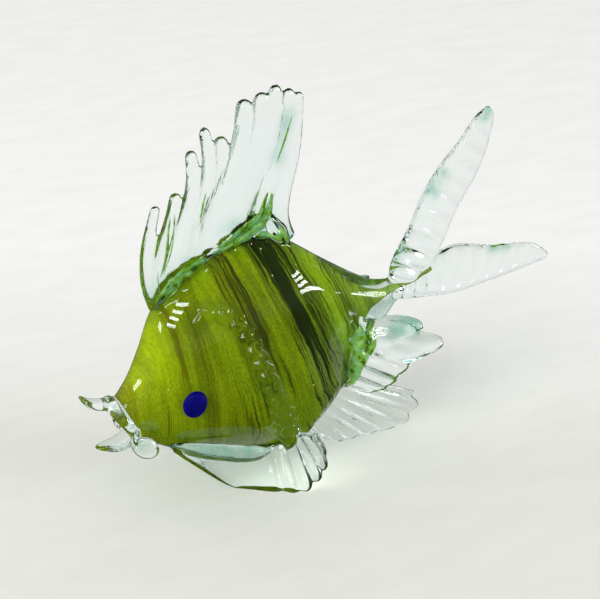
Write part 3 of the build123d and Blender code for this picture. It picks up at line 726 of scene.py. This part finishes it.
class Shader:
    """Builds the nodes of a material or world"""

    def __init__(self, holder):
        holder.use_nodes = True
        self.tree = holder.node_tree
        self.tree.nodes.clear()

    def set_input(self, socket, value):
        """Links another node's output to an input, or sets the input's own value"""
        if isinstance(value, bpy.types.NodeSocket):
            self.tree.links.new(value, socket)
        else:
            socket.default_value = value

    def __call__(self, kind, inputs=None, output=0, **settings):
        """Adds a node and gives one of its outputs, or the node itself where it has none"""
        made = self.tree.nodes.new("ShaderNode" + kind)
        for name, value in settings.items():
            setattr(made, name, value)
        for name, value in (inputs or {}).items():
            self.set_input(made.inputs[name], value)
        return made.outputs[output] if made.outputs else made

    def ramp(self, factor, stops):
        """A ramp of colours or grey levels"""
        made = self.tree.nodes.new("ShaderNodeValToRGB")
        elements = made.color_ramp.elements
        while len(elements) < len(stops):
            elements.new(1.0)
        for element, (position, colour) in zip(elements, stops):
            element.position = position
            element.color = colour if isinstance(colour, tuple) else (colour, colour, colour, 1.0)
        self.tree.links.new(factor, made.inputs["Fac"])
        return made.outputs["Color"]

    def noise(self, vector, scale, detail=3.0, roughness=0.5):
        """Noise from 0 to 1"""
        return self("TexNoise", {"Vector": vector, "Scale": scale, "Detail": detail, "Roughness": roughness})

    def stretched(self, vector, scale):
        """A vector scaled along each axis"""
        return self("Mapping", {"Vector": vector, "Scale": scale})

    def mix(self, factor, low, high):
        """A blend of two colours"""
        made = self.tree.nodes.new("ShaderNodeMix")
        made.data_type = "RGBA"
        # the sockets of a colour mix, which share their names with those of the other kinds
        for index, value in ((0, factor), (6, low), (7, high)):
            self.set_input(made.inputs[index], value)
        return made.outputs[2]

    def close(self, **ends):
        """Adds the material's output"""
        self("OutputMaterial", ends)

    def opaque(self, colour, roughness, specular):
        """A surface of a colour that lets nothing through"""
        inputs = {"Base Color": colour, "Roughness": roughness, "Specular IOR Level": specular}
        self.close(Surface=self("BsdfPrincipled", inputs))


def glass_material():
    """Clear glass with faint waves, drawn lines and tinted places"""
    material = bpy.data.materials.new("clear_glass")
    s = Shader(material)
    place = s("TexCoord", output=3)
    waves = s.noise(s.stretched(place, (34.0, 60.0, 12.0)), 2.2, 1.0)
    bump = s("Bump", {"Height": waves, "Strength": 0.07, "Distance": 0.002})
    # long lines drawn into the rays and the tail, which stand above the body
    ray_lean = math.radians(-14.7)
    upright = s("VectorRotate", {"Vector": place, "Axis": (0.0, 1.0, 0.0), "Angle": ray_lean})
    drawn = s.noise(s.stretched(upright, (420.0, 60.0, 26.0)), 1.0)
    height = s("SeparateXYZ", {"Vector": place}, output=2)
    above = s("MapRange", {"Value": height, "From Min": 0.112, "From Max": 0.125})
    lines = s("Math", {0: drawn, 1: above}, operation="MULTIPLY")
    bump = s("Bump", {"Height": lines, "Strength": 0.5, "Distance": 0.0012, "Normal": bump})
    patches = s.ramp(s.noise(place, 130.0), [(0.38, 0.25), (0.62, 1.0)])
    tinted = s("Attribute", output=2, attribute_name="tint")
    weight = s("Math", {0: patches, 1: tinted}, operation="MULTIPLY")
    surface = s("BsdfPrincipled", {
        "Base Color": s.mix(weight, srgb(252, 255, 254), srgb(112, 196, 172)),
        "Roughness": 0.01,
        "IOR": 1.46,
        "Transmission Weight": 1.0,
        "Normal": bump,
    })
    # the lamps reach the core and the floor straight through the glass
    let_through = s("BsdfTransparent", {"Color": (0.93, 0.95, 0.94, 1.0)})
    lamp_ray = s("LightPath", output=1)
    shown = s("MixShader", {0: lamp_ray, 1: surface, 2: let_through})
    volume = s("VolumeAbsorption", {"Color": (0.25, 0.80, 0.70, 1.0), "Density": 10.0})
    s.close(Surface=shown, Volume=volume)
    return material


def core_material():
    """Streaks of lime, olive, brown and dark green glass that run along the core's flow"""
    material = bpy.data.materials.new("streaked_glass")
    s = Shader(material)
    place = s("Attribute", output=1, attribute_name="flow")

    # the streaks drift and fray a little
    drift = s.noise(s.stretched(place, (3.0, 2.2, 2.0)), 1.0)
    wander = s("MapRange", {"Value": drift, "To Min": -0.035, "To Max": 0.035})
    fray = s.noise(s.stretched(place, (44.0, 20.0, 30.0)), 1.0)
    jagged = s("MapRange", {"Value": fray, "To Min": -0.007, "To Max": 0.007})
    sway = s("Math", {0: wander, 1: jagged}, operation="ADD")
    bent = s("VectorMath", {0: place, 1: s("CombineXYZ", {"X": sway})}, operation="ADD")

    # zones along the core, by millimetres across the streaks: one set for its upper half, one for its lower
    zone_length = 160.0
    across = s("SeparateXYZ", {"Vector": bent})
    along = s("Math", {0: across, 1: FLOW_UNIT / zone_length}, operation="MULTIPLY")
    height = s("SeparateXYZ", {"Vector": place}, output=1)
    rise = s("MapRange", {"Value": height, "From Min": -0.22, "From Max": 0.14})
    upper = s.ramp(rise, [(0.0, 0.0), (1.0, 1.0)])

    def zones(stops):
        """A ramp whose stops are given in millimetres"""
        return s.ramp(along, [(mm / zone_length, value) for mm, value in stops])

    high_base = zones([
        (0, srgb(100, 94, 12)), (8, srgb(146, 157, 8)), (20, srgb(155, 175, 4)), (32, srgb(103, 118, 1)),
        (44, srgb(100, 115, 1)), (54, srgb(128, 149, 3)), (62, srgb(102, 114, 2)), (70, srgb(92, 108, 2)),
        (76, srgb(100, 122, 4)), (82, srgb(88, 104, 4)), (90, srgb(56, 74, 4)), (98, srgb(84, 106, 8)),
        (105, srgb(136, 168, 10)), (112, srgb(122, 144, 14)), (122, srgb(130, 158, 46)),
        (134, srgb(148, 176, 98)), (146, srgb(120, 146, 60)),
    ])
    low_base = zones([
        (0, srgb(94, 90, 14)), (8, srgb(124, 134, 4)), (20, srgb(134, 151, 1)), (34, srgb(122, 138, 1)),
        (50, srgb(120, 135, 1)), (60, srgb(122, 140, 2)), (72, srgb(118, 138, 4)), (79, srgb(114, 138, 10)),
        (83, srgb(108, 124, 50)), (88, srgb(94, 110, 54)), (96, srgb(90, 114, 34)), (104, srgb(122, 160, 48)),
        (115, srgb(110, 144, 52)), (130, srgb(134, 160, 88)), (150, srgb(116, 142, 70)),
    ])
    high_streaks = zones([
        (0, 0.40), (10, 0.06), (25, 0.10), (29, 0.52), (33, 0.16), (38, 0.38), (42, 0.16), (52, 0.12),
        (58, 0.34), (63, 0.54), (69, 0.50), (73, 0.20), (79, 0.26), (83, 0.56), (87, 0.70), (92, 0.68),
        (98, 0.42), (103, 0.20), (109, 0.46), (120, 0.32), (134, 0.12), (146, 0.26),
    ])
    low_streaks = zones([
        (0, 0.44), (10, 0.10), (25, 0.10), (30, 0.40), (34, 0.14), (38, 0.32), (43, 0.14), (49, 0.26),
        (52, 0.46), (56, 0.30), (62, 0.12), (76, 0.16), (80, 0.36), (88, 0.46), (96, 0.36), (104, 0.24),
        (112, 0.36), (150, 0.30),
    ])
    streak_colour = zones([
        (0, srgb(88, 80, 16)), (26, srgb(92, 94, 2)), (50, srgb(76, 80, 2)), (60, srgb(60, 62, 4)),
        (74, srgb(42, 50, 3)), (84, srgb(24, 34, 3)), (100, srgb(34, 46, 4)), (112, srgb(60, 74, 8)),
        (150, srgb(64, 86, 28)),
    ])
    fine = s.noise(s.stretched(bent, (210.0, 2.6, 6.0)), 1.0, roughness=0.6)
    thin = s.noise(s.stretched(bent, (88.0, 1.9, 4.0)), 1.0, roughness=0.55)
    broad = s.noise(s.stretched(bent, (28.0, 1.3, 2.6)), 1.0)
    cloud = s.noise(s.stretched(bent, (9.0, 3.0, 3.0)), 1.0, 4.0, 0.6)
    grain = s.noise(s.stretched(bent, (150.0, 70.0, 90.0)), 1.0, roughness=0.7)
    colour = s.mix(upper, low_base, high_base)
    colour = s.mix(s.ramp(cloud, [(0.40, 0.0), (0.62, 0.55)]), colour, srgb(88, 102, 1))
    colour = s.mix(s.ramp(broad, [(0.34, 0.30), (0.50, 0.0)]), colour, srgb(158, 182, 12))
    colour = s.mix(s.ramp(fine, [(0.34, 0.24), (0.42, 0.0)]), colour, srgb(166, 188, 20))
    colour = s.mix(s.ramp(fine, [(0.56, 0.0), (0.66, 0.34)]), colour, srgb(70, 78, 2))
    colour = s.mix(s.ramp(grain, [(0.50, 0.0), (0.66, 0.34)]), colour, srgb(54, 64, 2))
    colour = s.mix(s.ramp(grain, [(0.34, 0.24), (0.48, 0.0)]), colour, srgb(172, 196, 24))

    # dark streaks, where the noise and the zone's strength together reach far enough
    strength = s("Math", {0: s.mix(upper, low_streaks, high_streaks), 1: 0.30}, operation="MULTIPLY")
    marks = s.mix(0.3, s.mix(0.45, fine, thin), broad)
    reach = s("Math", {0: marks, 1: strength}, operation="ADD")
    colour = s.mix(s.ramp(reach, [(0.625, 0.0), (0.645, 0.6), (0.69, 1.0)]), colour, streak_colour)
    # painted shade: the core is darkened under the gill band, standing in for the shade of its ribs
    band_shade_cover = s("Attribute", output=2, attribute_name="band_shade_cover")
    painted_shade_weight = s("Math", {0: band_shade_cover, 1: 0.34}, operation="MULTIPLY")
    colour = s.mix(painted_shade_weight, colour, srgb(64, 78, 12))
    specks = s("TexVoronoi", {"Vector": place, "Scale": 11.0})
    colour = s.mix(s.ramp(specks, [(0.034, 0.85), (0.050, 0.0)]), colour, srgb(214, 222, 160))
    s.opaque(colour, 0.5, 0.0)
    return material


def wisp_material():
    """Mottled green and teal glass"""
    material = bpy.data.materials.new("green_wisps")
    s = Shader(material)
    mottle = s.noise(s("TexCoord", output=3), 260.0, 4.0, 0.65)
    colour = s.ramp(mottle, [
        (0.32, srgb(28, 56, 14)), (0.41, srgb(84, 128, 28)), (0.48, srgb(134, 168, 50)),
        (0.55, srgb(104, 168, 128)), (0.63, srgb(168, 198, 84)),
    ])
    s.opaque(colour, 0.5, 0.0)
    return material


def eye_material():
    """Deep blue glass, faintly mottled"""
    material = bpy.data.materials.new("blue_glass")
    s = Shader(material)
    mottle = s.noise(s("TexCoord", output=3), 400.0, 2.0)
    s.opaque(s.ramp(mottle, [(0.35, srgb(0, 0, 90)), (0.7, srgb(4, 0, 116))]), 0.4, 0.08)
    return material


def floor_material():
    """A plain pale table top, faintly grained"""
    material = bpy.data.materials.new("floor")
    s = Shader(material)
    place = s("TexCoord", output=3)
    # painted light: the table is painted lighter toward the far wall, as if more light fell there
    to_wall = (0.4226, 0.9063, 0.0)
    behind = s("VectorMath", {0: place, 1: to_wall}, output=1, operation="DOT_PRODUCT")
    far = s("MapRange", {"Value": behind, "From Min": -0.02, "From Max": 0.22})
    grain = s.noise(s.stretched(place, (2.0, 5.0, 1.0)), 14.0, 4.0)
    near_colour = s.ramp(grain, [(0.3, srgb(225, 226, 219)), (0.7, srgb(229, 230, 223))])
    far_colour = s.ramp(grain, [(0.3, srgb(244, 244, 242)), (0.7, srgb(249, 249, 247))])
    s.opaque(s.mix(far, near_colour, far_colour), 0.6, 0.2)
    return material


def dress(piece, material):
    """Gives a piece one material"""
    piece.data.materials.clear()
    piece.data.materials.append(material)


dress(glass, glass_material())
dress(core, core_material())
dress(wisps, wisp_material())
blue = eye_material()
for eye in eyes:
    dress(eye, blue)

# Floor
FLOOR_REACH, FLOOR_DROP = 4.0, 0.0002
floor_mesh = bpy.data.meshes.new("floor")
floor_corners = [(FLOOR_REACH * x, FLOOR_REACH * y, 0.0) for x, y in ((-1, -1), (1, -1), (1, 1), (-1, 1))]
floor_mesh.from_pydata(floor_corners, [], [(0, 1, 2, 3)])
floor = bpy.data.objects.new("floor", floor_mesh)
bpy.context.scene.collection.objects.link(floor)
floor.location.z = -FLOOR_DROP
dress(floor, floor_material())
floor.visible_glossy = False

# World: what lights the fish, and what the camera, gloss and clear glass see, from straight down to up
world = bpy.data.worlds.new("studio")
bpy.context.scene.world = world
s = Shader(world)
height = s("SeparateXYZ", {"Vector": s("TexCoord", output=0)}, output=2)
upward = s("MapRange", {"Value": height, "From Min": -1.0, "From Max": 1.0})
seen = s.ramp(upward, [
    (0.0, srgb(120, 124, 120)), (0.45, srgb(215, 217, 214)), (0.52, srgb(243, 243, 243)),
    (1.0, srgb(246, 246, 244)),
])
reflected = s.ramp(upward, [(0.0, 0.04), (0.46, 0.10), (0.52, 0.28), (0.62, 0.16), (1.0, 0.10)])
falling = s.ramp(upward, [(0.0, 0.6), (0.5, 0.7), (1.0, 1.0)])
lit = s("Background", {"Color": falling, "Strength": 0.75})
view = s("Background", {"Color": seen, "Strength": 1.0})
gloss = s("Background", {"Color": reflected, "Strength": 1.0})
ray = s.tree.nodes.new("ShaderNodeLightPath").outputs
clear = s("Math", {0: ray["Is Camera Ray"], 1: ray["Is Transmission Ray"]}, operation="MAXIMUM")
lit_or_gloss = s("MixShader", {0: ray["Is Glossy Ray"], 1: lit, 2: gloss})
s("OutputWorld", {"Surface": s("MixShader", {0: clear, 1: lit_or_gloss, 2: view})})


def toward(azimuth, elevation):
    """The direction of an azimuth and an elevation in radians, seen from the fish"""
    return Vector((
        math.sin(azimuth) * math.cos(elevation),
        -math.cos(azimuth) * math.cos(elevation),
        math.sin(elevation),
    ))


# Camera at the photograph's angle
AZIMUTH, ELEVATION, DISTANCE = math.radians(-25.0), math.radians(27.0), 0.8
AIM = Vector((SNOUT_X * MM + 0.088, 0.0, 0.0794))
SENSOR, LENS = 36.0, 106.67
camera_data = bpy.data.cameras.new("camera")
camera_data.sensor_fit = "HORIZONTAL"
camera_data.sensor_width = SENSOR
camera_data.lens = LENS
camera = bpy.data.objects.new("camera", camera_data)
bpy.context.scene.collection.objects.link(camera)
back = toward(AZIMUTH, ELEVATION)
camera.location = AIM + back * DISTANCE
camera.rotation_euler = back.to_track_quat("Z", "Y").to_euler()
bpy.context.scene.camera = camera

# Windows that light the fish and show in its gloss
WINDOW_DISTANCE = 3.6
WINDOW_TARGET = Vector((SNOUT_X * MM + 0.07, 0.0, 0.08))


def soft_light(name, place, size, power):
    """A rectangular lamp that faces the fish"""
    data = bpy.data.lights.new(name, "AREA")
    data.shape = "RECTANGLE"
    data.size, data.size_y = size
    data.energy = power
    lamp = bpy.data.objects.new(name, data)
    bpy.context.scene.collection.objects.link(lamp)
    lamp.location = place
    lamp.rotation_euler = (lamp.location - WINDOW_TARGET).to_track_quat("Z", "Y").to_euler()


def window(name, azimuth, elevation, bars, size, pitch, radiance):
    """A window of bright level bars, seen from the fish at an azimuth and an elevation in degrees"""
    power = radiance * math.pi * size[0] * size[1]
    for k in range(bars):
        up = math.radians(elevation + pitch * (k - (bars - 1) / 2))
        place = WINDOW_TARGET + toward(math.radians(azimuth), up) * WINDOW_DISTANCE
        soft_light(f"{name}_{k}", place, size, power)


window("left_window", azimuth=-68.0, elevation=32.0, bars=4, size=(1.50, 0.19), pitch=6.5, radiance=18.0)
window("right_window", azimuth=58.0, elevation=11.0, bars=4, size=(1.42, 0.142), pitch=4.0, radiance=20.0)
window("low_window", azimuth=-103.0, elevation=11.0, bars=1, size=(0.95, 0.60), pitch=1.0, radiance=11.0)

bpy.context.scene.view_settings.view_transform = "Standard"
